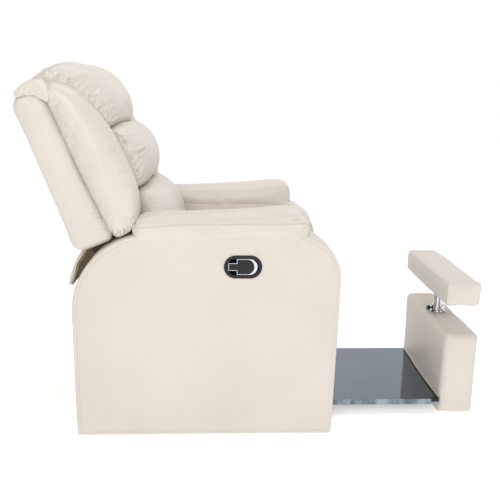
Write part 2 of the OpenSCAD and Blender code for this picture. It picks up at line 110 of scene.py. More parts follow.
def arc(cx, cz, r, start, stop, count=24):
    """Points of an arc in the side view, angles in degrees."""
    a = np.radians(np.linspace(start, stop, count))
    return [(cx + r * math.cos(t), cz + r * math.sin(t)) for t in a]


def resample(points, count, closed=True):
    """Even spacing along a line through the points."""
    p = np.asarray(points, float)
    if closed:
        p = np.vstack([p, p[:1]])
    step = np.linalg.norm(np.diff(p, axis=0), axis=1)
    keep = np.concatenate([[True], step > 1e-9])
    p, along = p[keep], np.concatenate([[0], np.cumsum(step)])[keep]
    t = np.linspace(0, along[-1], count, endpoint=not closed)
    return np.stack([np.interp(t, along, p[:, i]) for i in range(p.shape[1])], 1)


def smooth_line(points, rounds=3, closed=True):
    """Chaikin corner cutting."""
    p = np.asarray(points, float)
    for _ in range(rounds):
        q = np.roll(p, -1, axis=0) if closed else p[1:]
        a = p if closed else p[:-1]
        cut = np.empty((2 * len(a), p.shape[1]))
        cut[0::2], cut[1::2] = a * 0.75 + q * 0.25, a * 0.25 + q * 0.75
        p = cut if closed else np.vstack([p[:1], cut, p[-1:]])
    return p


def inset(line, by):
    """A closed outline moved inwards by a distance."""
    p = np.asarray(line, float)
    t = np.roll(p, -1, axis=0) - np.roll(p, 1, axis=0)
    t /= np.linalg.norm(t, axis=1)[:, None] + 1e-12
    n = np.stack([-t[:, 1], t[:, 0]], 1)
    if np.sum(n * (p.mean(0) - p)) < 0:
        n = -n
    return p + n * by


def drawn_in(line, by, hub):
    """A convex outline drawn in towards a hub until each point is a distance inside the edge."""
    p, hub = np.asarray(line, float), np.asarray(hub, float)
    t = np.roll(p, -1, axis=0) - p
    t /= np.linalg.norm(t, axis=1)[:, None] + 1e-12
    n = np.stack([-t[:, 1], t[:, 0]], 1)
    if np.sum(n * (hub - p)) < 0:
        n = -n
    here = p @ n.T - np.sum(p * n, axis=1)[None, :]
    there = (n @ hub - np.sum(p * n, axis=1))[None, :]
    part = np.max((by - here) / np.maximum(there - here, 1e-6), axis=1)
    return p + (hub - p) * np.clip(part, 0, 1)[:, None]


def from_profile(xz, y):
    """Side profile points to the shared frame."""
    xz = np.asarray(xz, float)
    return np.stack([xz[:, 0] + SHIFT, np.full(len(xz), y) if np.isscalar(y) else y, xz[:, 1]], 1)


def from_back(wv, y):
    """Points in the leaning back's own frame, forward and up from the pivot, to the shared frame."""
    wv = np.asarray(wv, float)
    c, s = math.cos(TILT), math.sin(TILT)
    return np.stack([
        PIVOT.x + wv[:, 0] * c - wv[:, 1] * s,
        np.full(len(wv), y) if np.isscalar(y) else y,
        PIVOT.z + wv[:, 0] * s + wv[:, 1] * c,
    ], 1)


def pillow(line, y0, y1, edge, crown, place, face_rings=10, band_rings=12, band_crown=0.0, centre=None):
    """An outline given thickness in Y, with rounded edges and swelling faces.

    With no centre the outline is taken as convex.
    """
    line = np.asarray(line, float)
    mid = np.mean(line, 0) if centre is None else np.asarray(centre)
    move = (lambda by: drawn_in(line, by, mid)) if centre is None else (lambda by: inset(line, by))
    half = []
    inner = move(edge)
    for s in np.linspace(0.04, 1, face_rings, endpoint=False):
        half.append((mid + (inner - mid) * s, crown * (1 - s * s)))
    for a in np.linspace(0, math.pi / 2, 8):
        half.append((move(edge * (1 - math.sin(a))), -edge * (1 - math.cos(a))))
    rings = [place(p, y0 - out) for p, out in half]
    for t in np.linspace(0, 1, band_rings + 2)[1:-1]:
        y = y0 + edge + (y1 - y0 - 2 * edge) * t
        rings.append(place(inset(line, -band_crown * 4 * t * (1 - t)), y))
    rings += [place(p, y1 + out) for p, out in reversed(half)]
    return loft(rings)


def mirrored(obj, name):
    """The same piece on the other side of the chair."""
    twin = obj.copy()
    twin.data = obj.data.copy()
    twin.name = name
    bpy.context.scene.collection.objects.link(twin)
    twin.data.transform(Matrix.Diagonal((1, -1, 1, 1)))
    twin.data.flip_normals()
    return twin


def coords(obj):
    co = np.empty(len(obj.data.vertices) * 3)
    obj.data.vertices.foreach_get("co", co)
    return co.reshape(-1, 3)


def normals(obj):
    n = np.empty(len(obj.data.vertices) * 3)
    obj.data.vertices.foreach_get("normal", n)
    return n.reshape(-1, 3)


def put(obj, co):
    obj.data.vertices.foreach_set("co", np.ascontiguousarray(co).ravel())
    obj.data.update()


def swell(obj, amount, scale, seed=0.0):
    """Low, slow unevenness of stuffed leather."""
    co, n = coords(obj), normals(obj)
    shift = Vector((seed, seed * 1.7, seed * 0.6))
    lift = np.array([noise.noise(Vector(c) * scale + shift) for c in co])
    put(obj, co + n * (lift * amount)[:, None])


def crease(obj, path, width, depth, fade=True, ridge=0.35):
    """A fold pressed in along a path, dying away towards the path's end."""
    co, n = coords(obj), normals(obj)
    path = [np.asarray(p, float) for p in path]
    lengths = [np.linalg.norm(b - a) for a, b in zip(path, path[1:])]
    total = sum(lengths)
    near = np.full(len(co), 9.0)
    along = np.zeros(len(co))
    done = 0.0
    for a, b, length in zip(path, path[1:], lengths):
        t = np.clip((co - a) @ (b - a) / (length * length), 0, 1)
        d = np.linalg.norm(co - (a + t[:, None] * (b - a)), axis=1)
        closer = d < near
        near[closer] = d[closer]
        along[closer] = (done + t[closer] * length) / total
        done += length
    x = near / width
    shape = -np.exp(-x * x) + ridge * np.exp(-((x - 2.1) ** 2))
    if fade:
        shape *= (1 - along) ** 0.8
    put(obj, co + n * (shape * depth)[:, None])


def surface(obj):
    """The mesh as a tree that rays can be cast at."""
    mesh = obj.data
    return BVHTree.FromPolygons([v.co for v in mesh.vertices], [p.vertices for p in mesh.polygons])


def on_side(tree, place, line, side, count=7):
    """Side view points carried straight in onto the surface that faces that side."""
    found = []
    for p in resample(line, count, closed=False):
        start = place([p], side * 0.6)[0]
        hit = tree.ray_cast(Vector(start), Vector((0, -side, 0)))[0]
        if hit is not None:
            found.append(np.array(hit))
    return found


def fold(obj, tree, place, line, side, width, depth, **more):
    """A crease along a side view line, on the surface that faces that side."""
    path = on_side(tree, place, line, side)
    if len(path) > 1:
        crease(obj, path, width, depth, **more)


def pleats(obj, place, seam, toward, count, length, width, depth, seed, sides=(-1, 1), spread=0.22):
    """Folds that leave a seam for a point, uneven in spacing, length and depth, drawn in the side view."""
    seam = resample(seam, 200, closed=False)
    tree = surface(obj)
    for side in sides:
        rng = np.random.default_rng(seed)
        for k in range(count):
            a = seam[int((k + rng.uniform(0.1, 0.9)) / count * 199)]
            aim = np.asarray(toward) - a
            aim /= np.linalg.norm(aim)
            turn = rng.normal(0, spread)
            c, s = math.cos(turn), math.sin(turn)
            aim = np.array([aim[0] * c - aim[1] * s, aim[0] * s + aim[1] * c])
            across = np.array([-aim[1], aim[0]])
            reach = length * rng.uniform(0.4, 1.25)
            start = a + aim * rng.uniform(0.0, 0.006)
            bend = start + aim * reach / 2 + across * reach * rng.normal(0, 0.08)
            line = [start, bend, start + aim * reach]
            fold(obj, tree, place, line, side, width * rng.uniform(0.7, 1.3), depth * rng.uniform(0.45, 1.25))


def stuffed(obj, voxel=0.006, pressure=4.0, cap=0.010, frames=20):
    """Lets cloth take the piece's own fullness, then applies the result, with no point moved past the cap."""
    remesh = obj.modifiers.new("remesh", "REMESH")
    remesh.mode = "VOXEL"
    remesh.voxel_size = voxel
    apply_all(obj)
    rest = coords(obj).copy()
    cloth = obj.modifiers.new("cloth", "CLOTH")
    s = cloth.settings
    s.quality = 4
    s.mass = 0.3
    s.tension_stiffness = s.compression_stiffness = 20
    s.shear_stiffness = 8
    s.bending_stiffness = 0.6
    s.use_pressure = True
    s.uniform_pressure_force = pressure
    s.effector_weights.gravity = 0
    cloth.collision_settings.use_self_collision = False
    cloth.point_cache.frame_start, cloth.point_cache.frame_end = 1, frames
    for f in range(1, frames + 1):
        bpy.context.scene.frame_set(f)
    graph = bpy.context.evaluated_depsgraph_get()
    shaped = obj.evaluated_get(graph).data
    co = np.empty(len(shaped.vertices) * 3)
    shaped.vertices.foreach_get("co", co)
    obj.modifiers.remove(cloth)
    bpy.context.scene.frame_set(1)
    move = co.reshape(-1, 3) - rest
    far = np.linalg.norm(move, axis=1)
    move *= np.minimum(1, cap / np.maximum(far, 1e-9))[:, None]
    put(obj, rest + move)
    sub = obj.modifiers.new("sub", "SUBSURF")
    sub.levels = sub.render_levels = 1
    apply_all(obj)
    obj.data.polygons.foreach_set("use_smooth", [True] * len(obj.data.polygons))


def apply_all(obj):
    """Bakes the modifiers into the mesh."""
    graph = bpy.context.evaluated_depsgraph_get()
    baked = bpy.data.meshes.new_from_object(obj.evaluated_get(graph))
    obj.modifiers.clear()
    obj.data = baked


def settle(obj, *nodes, fill=None):
    """Gives the piece its body and the CAD nodes that it stands for."""
    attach(obj, obj["body_name"])
    if nodes:
        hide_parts(*nodes)


# ---- Materials ----

def material(name, colour, rough, metal=0.0, coat=0.0, specular=0.5):
    mat = bpy.data.materials.new(name)
    mat.use_nodes = True
    shader = mat.node_tree.nodes["Principled BSDF"]
    shader.inputs["Base Color"].default_value = (*colour, 1)
    shader.inputs["Roughness"].default_value = rough
    shader.inputs["Metallic"].default_value = metal
    shader.inputs["Coat Weight"].default_value = coat
    shader.inputs["Specular IOR Level"].default_value = specular
    return mat, mat.node_tree, shader


def node(tree, kind, **inputs):
    n = tree.nodes.new(kind)
    for key, value in inputs.items():
        n.inputs[key.replace("_", " ")].default_value = value
    return n


def vary(tree, shader, colours, scale, rough=None, detail=4.0, stretch=None):
    """Uneven colour, and roughness if given, over the surface."""
    place = tree.nodes.new("ShaderNodeTexCoord")
    source = place.outputs["Object"]
    if stretch:
        mapping = tree.nodes.new("ShaderNodeMapping")
        mapping.inputs["Scale"].default_value = stretch
        tree.links.new(source, mapping.inputs["Vector"])
        source = mapping.outputs["Vector"]
    cloud = node(tree, "ShaderNodeTexNoise", Scale=scale, Detail=detail)
    tree.links.new(source, cloud.inputs["Vector"])
    ramp = tree.nodes.new("ShaderNodeValToRGB")
    ramp.color_ramp.elements[0].position, ramp.color_ramp.elements[1].position = 0.3, 0.7
    ramp.color_ramp.elements[0].color = (*colours[0], 1)
    ramp.color_ramp.elements[1].color = (*colours[1], 1)
    tree.links.new(cloud.outputs["Fac"], ramp.inputs["Fac"])
    tree.links.new(ramp.outputs["Color"], shader.inputs["Base Color"])
    if rough:
        spread = node(tree, "ShaderNodeMapRange", To_Min=rough[0], To_Max=rough[1])
        tree.links.new(cloud.outputs["Fac"], spread.inputs["Value"])
        tree.links.new(spread.outputs["Result"], shader.inputs["Roughness"])
    return source


def bump(tree, shader, source, layers):
    """Stacked bumps: (texture node, output, strength, distance)."""
    last = None
    for kind, inputs, output, strength, distance in layers:
        tex = node(tree, kind, **inputs)
        tree.links.new(source, tex.inputs["Vector"])
        b = node(tree, "ShaderNodeBump", Strength=strength, Distance=distance)
        tree.links.new(tex.outputs[output], b.inputs["Height"])
        if last:
            tree.links.new(last.outputs["Normal"], b.inputs["Normal"])
        last = b
    tree.links.new(last.outputs["Normal"], shader.inputs["Normal"])


def leather(name, low, high):
    mat, tree, shader = material(name, high, 0.45, coat=0.08)
    shader.inputs["Coat Roughness"].default_value = 0.35
    source = vary(tree, shader, (low, high), 5.0, rough=(0.38, 0.50))
    bump(tree, shader, source, [
        ("ShaderNodeTexNoise", {"Scale": 22.0, "Detail": 3.0}, "Fac", 0.35, 0.0022),
        ("ShaderNodeTexVoronoi", {"Scale": 620.0}, "Distance", 0.22, 0.00025),
        ("ShaderNodeTexNoise", {"Scale": 1900.0, "Detail": 2.0}, "Fac", 0.15, 0.00012),
    ])
    return mat


def cloth_weave(name, low, high):
    mat, tree, shader = material(name, high, 0.9, specular=0.2)
    source = vary(tree, shader, (low, high), 40.0, detail=6.0)
    bump(tree, shader, source, [
        ("ShaderNodeTexWave", {"Scale": 420.0, "Distortion": 1.0}, "Fac", 0.3, 0.0003),
        ("ShaderNodeTexNoise", {"Scale": 900.0, "Detail": 2.0}, "Fac", 0.3, 0.0003),
    ])
    return mat


def wood(name, low, high):
    mat, tree, shader = material(name, high, 0.6, specular=0.3)
    source = vary(tree, shader, (low, high), 18.0, rough=(0.5, 0.7), detail=8.0, stretch=(0.35, 1.0, 4.0))
    bump(tree, shader, source, [
        ("ShaderNodeTexNoise", {"Scale": 160.0, "Detail": 5.0}, "Fac", 0.25, 0.0004),
    ])
    return mat


def metal(name, colour, rough, brushed=False):
    mat, tree, shader = material(name, colour, rough, metal=1.0)
    low = tuple(c * 0.93 for c in colour)
    stretch = (1.0, 60.0, 60.0) if brushed else None
    source = vary(tree, shader, (low, colour), 14.0, rough=(rough * 0.8, rough * 1.25), stretch=stretch)
    bump(tree, shader, source, [
        ("ShaderNodeTexNoise", {"Scale": 60.0, "Detail": 4.0}, "Fac", 0.10 if brushed else 0.02, 0.0002),
    ])
    return mat


def plastic(name, colour, rough, specular=0.5):
    mat, tree, shader = material(name, colour, rough, specular=specular)
    high = tuple(c * 1.3 for c in colour)
    source = vary(tree, shader, (colour, high), 12.0, rough=(rough * 0.85, rough * 1.15))
    bump(tree, shader, source, [
        ("ShaderNodeTexNoise", {"Scale": 700.0, "Detail": 2.0}, "Fac", 0.08, 0.0002),
    ])
    return mat


def tray_steel_with_painted_edge_reflection():
    """Dark polished steel. The side faces get a brighter, streaky base colour, which is a painted reflection
    of the floor.
    """
    mat, tree, shader = material("tray_steel", (0.14, 0.165, 0.195), 0.035, metal=1.0)
    source = vary(tree, shader, ((0.130, 0.155, 0.185), (0.150, 0.176, 0.206)), 5.0, rough=(0.02, 0.05))
    top = shader.inputs["Base Color"].links[0].from_socket
    edge_reflection_streaks = tree.nodes.new("ShaderNodeMapping")
    edge_reflection_streaks.inputs["Scale"].default_value = (14.0, 1.0, 5.0)
    tree.links.new(source, edge_reflection_streaks.inputs["Vector"])
    cloud = node(tree, "ShaderNodeTexNoise", Scale=1.6, Detail=5.0)
    tree.links.new(edge_reflection_streaks.outputs["Vector"], cloud.inputs["Vector"])
    ramp = tree.nodes.new("ShaderNodeValToRGB")
    # Side faces: a brighter, streaky colour that is a painted reflection of the floor; top faces keep the
    # plain steel colour.
    ramp.color_ramp.elements[0].position, ramp.color_ramp.elements[1].position = 0.40, 0.58
    ramp.color_ramp.elements[0].color = (0.13, 0.16, 0.18, 1)
    ramp.color_ramp.elements[1].color = (0.30, 0.36, 0.39, 1)
    tree.links.new(cloud.outputs["Fac"], ramp.inputs["Fac"])
    facing = tree.nodes.new("ShaderNodeNewGeometry")
    split = tree.nodes.new("ShaderNodeSeparateXYZ")
    tree.links.new(facing.outputs["Normal"], split.inputs["Vector"])
    level = tree.nodes.new("ShaderNodeMath")
    level.operation = "GREATER_THAN"
    level.inputs[1].default_value = 0.5
    tree.links.new(split.outputs["Z"], level.inputs[0])
    mix = tree.nodes.new("ShaderNodeMix")
    mix.data_type = "RGBA"
    tree.links.new(level.outputs["Value"], mix.inputs["Factor"])
    tree.links.new(ramp.outputs["Color"], mix.inputs["A"])
    tree.links.new(top, mix.inputs["B"])
    tree.links.new(mix.outputs["Result"], shader.inputs["Base Color"])
    return mat


MATS = {
    "cream_cover": leather("cream_leather", (0.655, 0.598, 0.528), (0.690, 0.636, 0.568)),
    "tan_lining": cloth_weave("tan_lining", (0.330, 0.262, 0.180), (0.400, 0.325, 0.232)),
    "webbing": cloth_weave("webbing", (0.03, 0.03, 0.032), (0.06, 0.06, 0.062)),
    "plywood": wood("plywood", (0.42, 0.29, 0.16), (0.62, 0.46, 0.28)),
    "timber": wood("timber", (0.50, 0.35, 0.20), (0.70, 0.53, 0.34)),
    "zinc_steel": metal("zinc_steel", (0.50, 0.51, 0.53), 0.38, brushed=True),
    "bright_steel": metal("bright_steel", (0.66, 0.67, 0.69), 0.22),
    "chrome": metal("chrome", (0.60, 0.61, 0.64), 0.05),
    "tray_steel": tray_steel_with_painted_edge_reflection(),
    "black_plastic": plastic("black_plastic", (0.008, 0.008, 0.010), 0.16, specular=0.32),
    "black_paint": plastic("black_paint", (0.018, 0.018, 0.020), 0.40),
    "dark_nylon": plastic("dark_nylon", (0.025, 0.025, 0.027), 0.55),
}
CREAM = MATS["cream_cover"]


def paint_cad_nodes():
    """Every carried-over CAD node takes its slot's material."""
    for part in frame["record"]["subparts"]:
        obj = frame["nodes"][part["node"]]
        obj.data.materials.clear()
        obj.data.materials.append(MATS[part["material_slot"]])


# ---- Arms ----

def arm_outline():
    px, pz = -0.196, PIVOT.z
    toe = ARM_HI.x - SHIFT
    line = [(-0.426, ARM_LOW), (-0.426, pz)]
    line += arc(px, pz, REAR_R, 180, 90, 60)
    line += arc(FRONT_X, ARM_TOP - FRONT_R, FRONT_R, 90, 0, 40)
    line += [(toe - 0.013, ARM_LOW)]
    return resample(line, 460)


def stadium_at(line, length, height):
    """The point of a stadium round the bezel's middle that lies towards each outline point."""
    d = np.asarray(line) - np.asarray(BEZEL)
    d /= np.linalg.norm(d, axis=1)[:, None]
    run, r = (length - height) / 2, height / 2
    out = np.empty_like(d)
    for i, (x, z) in enumerate(d):
        t = r / max(abs(z), 1e-6)
        if abs(x * t) > run:
            e = math.copysign(run, x)
            b = x * e
            t = b + math.sqrt(max(b * b - (run * run - r * r), 0))
        out[i] = (x * t, z * t)
    return out + np.asarray(BEZEL)


def arm_cover(name, hole):
    """Side panels, the band round the edge and the seams between them."""
    line = arm_outline()
    hub = stadium_at(line, 0.097, 0.056)
    y_out, y_in = -ARM_OUT, -ARM_IN - 0.002
    seam = [
        (0.016, 0.0), (0.0125, 0.0), (0.0105, -0.0016), (0.0085, -0.0004), (0.006, 0.0004),
        (0.0035, -0.0006), (0.0015, -0.003), (0.0004, -0.0065), (0.0, -0.011),
    ]
    rings = []
    start = drawn_in(line, 0.020, BEZEL)
    for s in np.linspace(0, 1, 26) ** 1.15:
        rings.append(from_profile(hub + (start - hub) * s, y_out))
    rings += [from_profile(drawn_in(line, d, BEZEL), y_out - out) for d, out in seam]
    for t in np.linspace(0, 1, 8)[1:-1]:
        rings.append(from_profile(line, y_out + 0.011 + (y_in - y_out - 0.022) * t))
    rings += [from_profile(drawn_in(line, d, BEZEL), y_in + out) for d, out in reversed(seam)]
    for s in np.linspace(1, 0.02, 14):
        rings.append(from_profile(hub + (start - hub) * s, y_in))
    verts, faces = loft(rings, close_first=not hole)
    obj = mesh_object(name, verts, faces, CREAM, "base")
    swell(obj, 0.0011, 6.0, seed=3.0)
    return obj


def make_arms():
    right = arm_cover("arm_cover_r", True)
    settle(right, "arm_cover_right")
    left = mirrored(arm_cover("arm_cover_l", False), "arm_cover_left_side")
    bpy.data.objects.remove(bpy.data.objects["arm_cover_l"])
    settle(left, "arm_cover_left")


def pad_outline():
    """Side view of an armrest pad: level underside, crest rising to the front."""
    low, rear, front = 0.5735, -0.252, 0.243
    line = arc(rear + 0.037, 0.616, 0.037, 270, 90, 20)
    line += [(-0.10, 0.6545), (0.0, 0.6585), (0.10, 0.6650), (0.17, 0.6720)]
    line += arc(front - 0.036, 0.640, 0.036, 90, 0, 14)
    line += arc(front - 0.030, low + 0.030, 0.030, 0, -90, 12)
    return resample(smooth_line(resample(line, 90), 2), 220)


def armrest_pad(name):
    line = pad_outline()
    verts, faces = pillow(
        line, -ARM_OUT - 0.007, -ARM_IN, 0.024, 0.0015, from_profile,
        face_rings=8, band_rings=22, band_crown=0.003, centre=(0.0, 0.620),
    )
    obj = mesh_object(name, verts, faces, CREAM, "base")
    stuffed(obj, 0.005, 3.0, 0.005)
    co = coords(obj)
    # The end narrows and rounds in plan.
    x = co[:, 0] - SHIFT
    mid_y = -(ARM_OUT + ARM_IN) / 2
    end = np.clip((x - 0.165) / 0.080, 0, 1)
    co[:, 1] = mid_y + (co[:, 1] - mid_y) * (1 - 0.10 * end ** 2)
    put(obj, co)
    seam = [(-0.246, 0.628), (-0.10, 0.6375), (0.0, 0.6385), (0.12, 0.640), (0.232, 0.643)]
    crease(obj, on_side(surface(obj), from_profile, seam, -1, 40), 0.0024, 0.0024, fade=False, ridge=0.45)
    for seam, toward, count, length, width, depth, seed in (
        ([(0.236, 0.640), (0.238, 0.600), (0.215, 0.586)], (0.120, 0.610), 8, 0.030, 0.0042, 0.0032, 81),
        ([(0.236, 0.645), (0.200, 0.662)], (0.120, 0.645), 5, 0.030, 0.0040, 0.0026, 82),
        ([(-0.246, 0.640), (-0.248, 0.600)], (-0.100, 0.615), 5, 0.026, 0.0042, 0.0022, 83),
    ):
        pleats(obj, from_profile, seam, toward, count, length, width, depth, seed, NEAR)
    for y, z0, z1 in (
        (-0.340, 0.594, 0.640), (-0.318, 0.592, 0.650), (-0.290, 0.592, 0.640), (-0.262, 0.594, 0.645),
    ):
        crease(obj, [(SHIFT + 0.243, y, z0), (SHIFT + 0.236, y + 0.004, z1)], 0.005, 0.0025)
    swell(obj, 0.0016, 14.0, seed=5.0)
    return obj


def make_pads():
    right = armrest_pad("armrest_pad_r")
    left = mirrored(right, "armrest_pad_l")
    settle(right, "armrest_pad_right", fill=0.8)
    settle(left, "armrest_pad_left", fill=0.8)


# ---- Back ----

def shell_outline():
    rear, top = -0.141, 0.686
    line = arc(rear + 0.026, 0.257, 0.026, 270, 180, 10)
    line += arc(rear + 0.036, top - 0.036, 0.036, 180, 90, 12)
    line += arc(-0.088, top - 0.034, 0.034, 90, 5, 10)
    line += [(-0.047, 0.46), (-0.037, 0.31), (-0.026, 0.250)]
    line += arc(-0.038, 0.243, 0.012, 0, -90, 6)
    return resample(smooth_line(resample(line, 70), 1), 300)


def back_shell():
    line = shell_outline()
    verts, faces = pillow(
        line, -0.338, 0.338, 0.020, 0.005, from_back,
        face_rings=14, band_rings=60, band_crown=0.002, centre=(-0.090, 0.45),
    )
    obj = mesh_object("back_shell_cover", verts, faces, CREAM, "backrest")
    stuffed(obj, 0.006, 4.0, 0.004)
    pleats(obj, from_back, [(-0.048, 0.640), (-0.044, 0.560)], (-0.110, 0.585), 5, 0.024, 0.0040, 0.0022, 21)
    pleats(obj, from_back, [(-0.040, 0.330), (-0.030, 0.256)], (-0.100, 0.300), 6, 0.026, 0.0042, 0.0026, 22)
    pleats(obj, from_back, [(-0.110, 0.676), (-0.072, 0.664)], (-0.088, 0.560), 4, 0.026, 0.0045, 0.0018, 23)
    swell(obj, 0.0014, 9.0, seed=1.0)
    settle(obj, "back_shell", fill=0.7)


BOLSTER_LINE = [
    (-0.044, 0.600), (-0.050, 0.640), (-0.054, 0.682), (-0.036, 0.694), (-0.004, 0.678), (0.026, 0.647),
    (0.049, 0.596), (0.065, 0.538), (0.074, 0.500), (0.080, 0.435), (0.081, 0.362), (0.078, 0.328),
    (0.067, 0.287), (0.050, 0.254), (0.022, 0.236), (-0.010, 0.234), (-0.027, 0.243), (-0.034, 0.310),
    (-0.042, 0.450),
]


def bolster():
    """A long plump side cushion, gathered at its top and bottom."""
    line = resample(smooth_line(resample(BOLSTER_LINE, 60), 2), 300)
    verts, faces = pillow(
        line, -0.349, -0.229, 0.034, 0.010, from_back,
        face_rings=12, band_rings=14, band_crown=0.002, centre=(0.010, 0.43),
    )
    obj = mesh_object("bolster_r", verts, faces, CREAM, "backrest")
    stuffed(obj, 0.0055, 4.0, 0.007)
    top_end = [(-0.050, 0.648), (-0.048, 0.686), (-0.020, 0.688)]
    low_end = [(-0.026, 0.246), (0.010, 0.238), (0.056, 0.270)]
    for seam, toward, count, length, width, depth, seed, spread in (
        (top_end, (0.004, 0.625), 8, 0.040, 0.0038, 0.0050, 31, 0.22),
        (low_end, (0.020, 0.360), 9, 0.034, 0.0040, 0.0048, 32, 0.22),
        ([(-0.036, 0.330), (-0.046, 0.610)], (0.060, 0.470), 13, 0.026, 0.0036, 0.0022, 33, 0.5),
        ([(0.076, 0.500), (0.080, 0.340)], (0.000, 0.420), 7, 0.022, 0.0040, 0.0014, 34, 0.5),
        ([(0.026, 0.640), (0.068, 0.530)], (-0.020, 0.540), 5, 0.024, 0.0040, 0.0014, 35, 0.4),
    ):
        pleats(obj, from_back, seam, toward, count, length, width, depth, seed, NEAR, spread)
    swell(obj, 0.0018, 11.0, seed=2.0)
    return obj


def make_bolsters():
    right = bolster()
    left = mirrored(right, "bolster_l")
    settle(right, "bolster_right", fill=0.9)
    settle(left, "bolster_left", fill=0.9)


def roll(name, middle, edge, half_rings=34, power=3.0):
    """A cushion whose full mid profile draws down to a seam line at each side.

    The profile's points are (forward, up) and the seam's are (forward, up, y).
    """
    middle, edge = np.asarray(middle, float), np.asarray(edge, float)
    rings = []
    for q in np.linspace(0, 1, half_rings):
        a = q * math.pi / 2
        f, g = max(math.cos(a), 0.0) ** (2 / power), math.sin(a) ** (2 / power)
        wv = edge[:, :2] + (middle - edge[:, :2]) * f
        rings.append(from_back(wv, -edge[:, 2] * g))
    rings = rings[::-1]
    other = [r * np.array([1, -1, 1]) for r in rings[::-1][1:]]
    verts, faces = loft(rings + other)
    return mesh_object(name, verts, faces, CREAM, "backrest")


def profile_of(points, count=200):
    return resample(smooth_line(resample(points, 60), 2), count)


def middle_roll():
    front = arc(0.012, 0.426, 0.124, -46, 46, 30)
    line = [(-0.030, 0.335), (0.055, 0.332)] + front + [(0.055, 0.520), (-0.044, 0.517)]
    mid = resample(smooth_line(line, 1), 200)
    tight = mid.copy()
    tight[:, 0] = np.where(mid[:, 0] > 0.02, 0.02 + (mid[:, 0] - 0.02) * 0.45, mid[:, 0])
    tight[:, 1] = 0.426 + (mid[:, 1] - 0.426) * 0.90
    edge = np.column_stack([tight, np.full(len(mid), 0.229)])
    obj = roll("middle_roll_cover", mid, edge, power=2.9)
    stuffed(obj, 0.006, 4.0, 0.007)
    end = [(0.060, 0.512), (0.082, 0.486), (0.090, 0.430), (0.086, 0.372), (0.072, 0.348)]
    pleats(obj, from_back, end, (0.150, 0.424), 14, 0.034, 0.0042, 0.0056, 41)
    pleats(obj, from_back, end, (0.150, 0.424), 9, 0.018, 0.0034, 0.0040, 42, spread=0.4)
    swell(obj, 0.0022, 10.0, seed=7.0)
    settle(obj, "middle_roll", fill=0.95)


def lumbar_roll():
    front = arc(-0.027, 0.214, 0.165, -40, 42, 34)
    mid = resample(smooth_line([(-0.018, 0.104)] + front + [(0.040, 0.327), (-0.024, 0.326)], 1), 200)
    tight = mid.copy()
    tight[:, 0] = np.where(mid[:, 0] > 0.02, 0.02 + (mid[:, 0] - 0.02) * 0.74, mid[:, 0])
    tight[:, 1] = 0.214 + (mid[:, 1] - 0.214) * 0.97
    edge = np.column_stack([tight, np.full(len(mid), 0.2265)])
    obj = roll("lumbar_roll_cover", mid, edge, power=4.0)
    stuffed(obj, 0.006, 4.0, 0.004)
    pleats(obj, from_back, [(0.088, 0.310), (0.100, 0.180)], (0.190, 0.235), 7, 0.020, 0.0042, 0.0018, 51)
    swell(obj, 0.0022, 8.0, seed=9.0)
    settle(obj, "lumbar_roll", fill=0.9)


def headrest():
    """The dome at the top: it rolls over the shell and draws down to the seam along the bolsters."""
    mid = profile_of([
        (-0.050, 0.560), (-0.046, 0.640), (-0.078, 0.684), (-0.094, 0.700), (-0.078, 0.717), (-0.045, 0.728),
        (-0.010, 0.733), (0.020, 0.729), (0.050, 0.708), (0.072, 0.683), (0.089, 0.646), (0.099, 0.603),
        (0.096, 0.560), (0.082, 0.530), (0.058, 0.521), (0.0, 0.521), (-0.040, 0.521),
    ])
    edge = []
    for w, v in mid:
        y = 0.326 - 0.5 * max(w, 0) if v > 0.60 else 0.229 + max(v - 0.52, 0) * 0.55
        sw = min(w, 0.075 - 0.62 * max(v - 0.50, 0) + 0.05 * (v > 0.66))
        sv = v if v < 0.66 else 0.66 + (v - 0.66) * 0.50
        edge.append((max(sw, -0.092), sv, min(max(y, 0.229), 0.326)))
    edge = np.asarray(edge)
    for i in range(3):
        wrapped = np.concatenate([edge[-8:, i], edge[:, i], edge[:8, i]])
        edge[:, i] = np.convolve(wrapped, np.ones(17) / 17, "valid")
    obj = roll("headrest_cover", mid, edge, power=3.8)
    stuffed(obj, 0.006, 4.0, 0.007)
    seam = [
        (-0.062, 0.712), (-0.030, 0.708), (-0.002, 0.694), (0.026, 0.666), (0.046, 0.626), (0.062, 0.580),
        (0.074, 0.540),
    ]
    pleats(obj, from_back, seam, (0.075, 0.800), 9, 0.024, 0.0044, 0.0036, 61, spread=0.45)
    pleats(obj, from_back, seam[2:], (0.170, 0.690), 12, 0.032, 0.0046, 0.0038, 62, spread=0.3)
    pleats(obj, from_back, [(0.074, 0.560), (0.078, 0.528)], (0.120, 0.570), 4, 0.026, 0.0042, 0.0040, 63)
    swell(obj, 0.0022, 8.0, seed=11.0)
    settle(obj, "headrest_roll", fill=0.95)


def top_band():
    """The strip that wraps over the top of the shell and runs into the bolsters, gathered at each end."""
    mid = resample(smooth_line([
        (-0.124, 0.676), (-0.118, 0.688), (-0.098, 0.698), (-0.080, 0.702), (-0.058, 0.704), (-0.034, 0.698),
        (-0.026, 0.676), (-0.036, 0.640), (-0.046, 0.632), (-0.054, 0.644), (-0.070, 0.664), (-0.094, 0.674),
        (-0.114, 0.672),
    ], 2), 160)
    middle = mid.mean(0)
    edge = np.column_stack([middle + (mid - middle) * (0.95, 0.80), np.full(len(mid), 0.348)])
    obj = roll("top_band_cover", mid, edge, half_rings=80, power=12.0)
    stuffed(obj, 0.005, 3.0, 0.003)
    seam = [(-0.112, 0.678), (-0.070, 0.668), (-0.048, 0.640)]
    pleats(obj, from_back, seam, (-0.066, 0.730), 8, 0.022, 0.0034, 0.0036, 71)
    swell(obj, 0.0014, 14.0, seed=13.0)
    settle(obj, "top_band", fill=0.7)


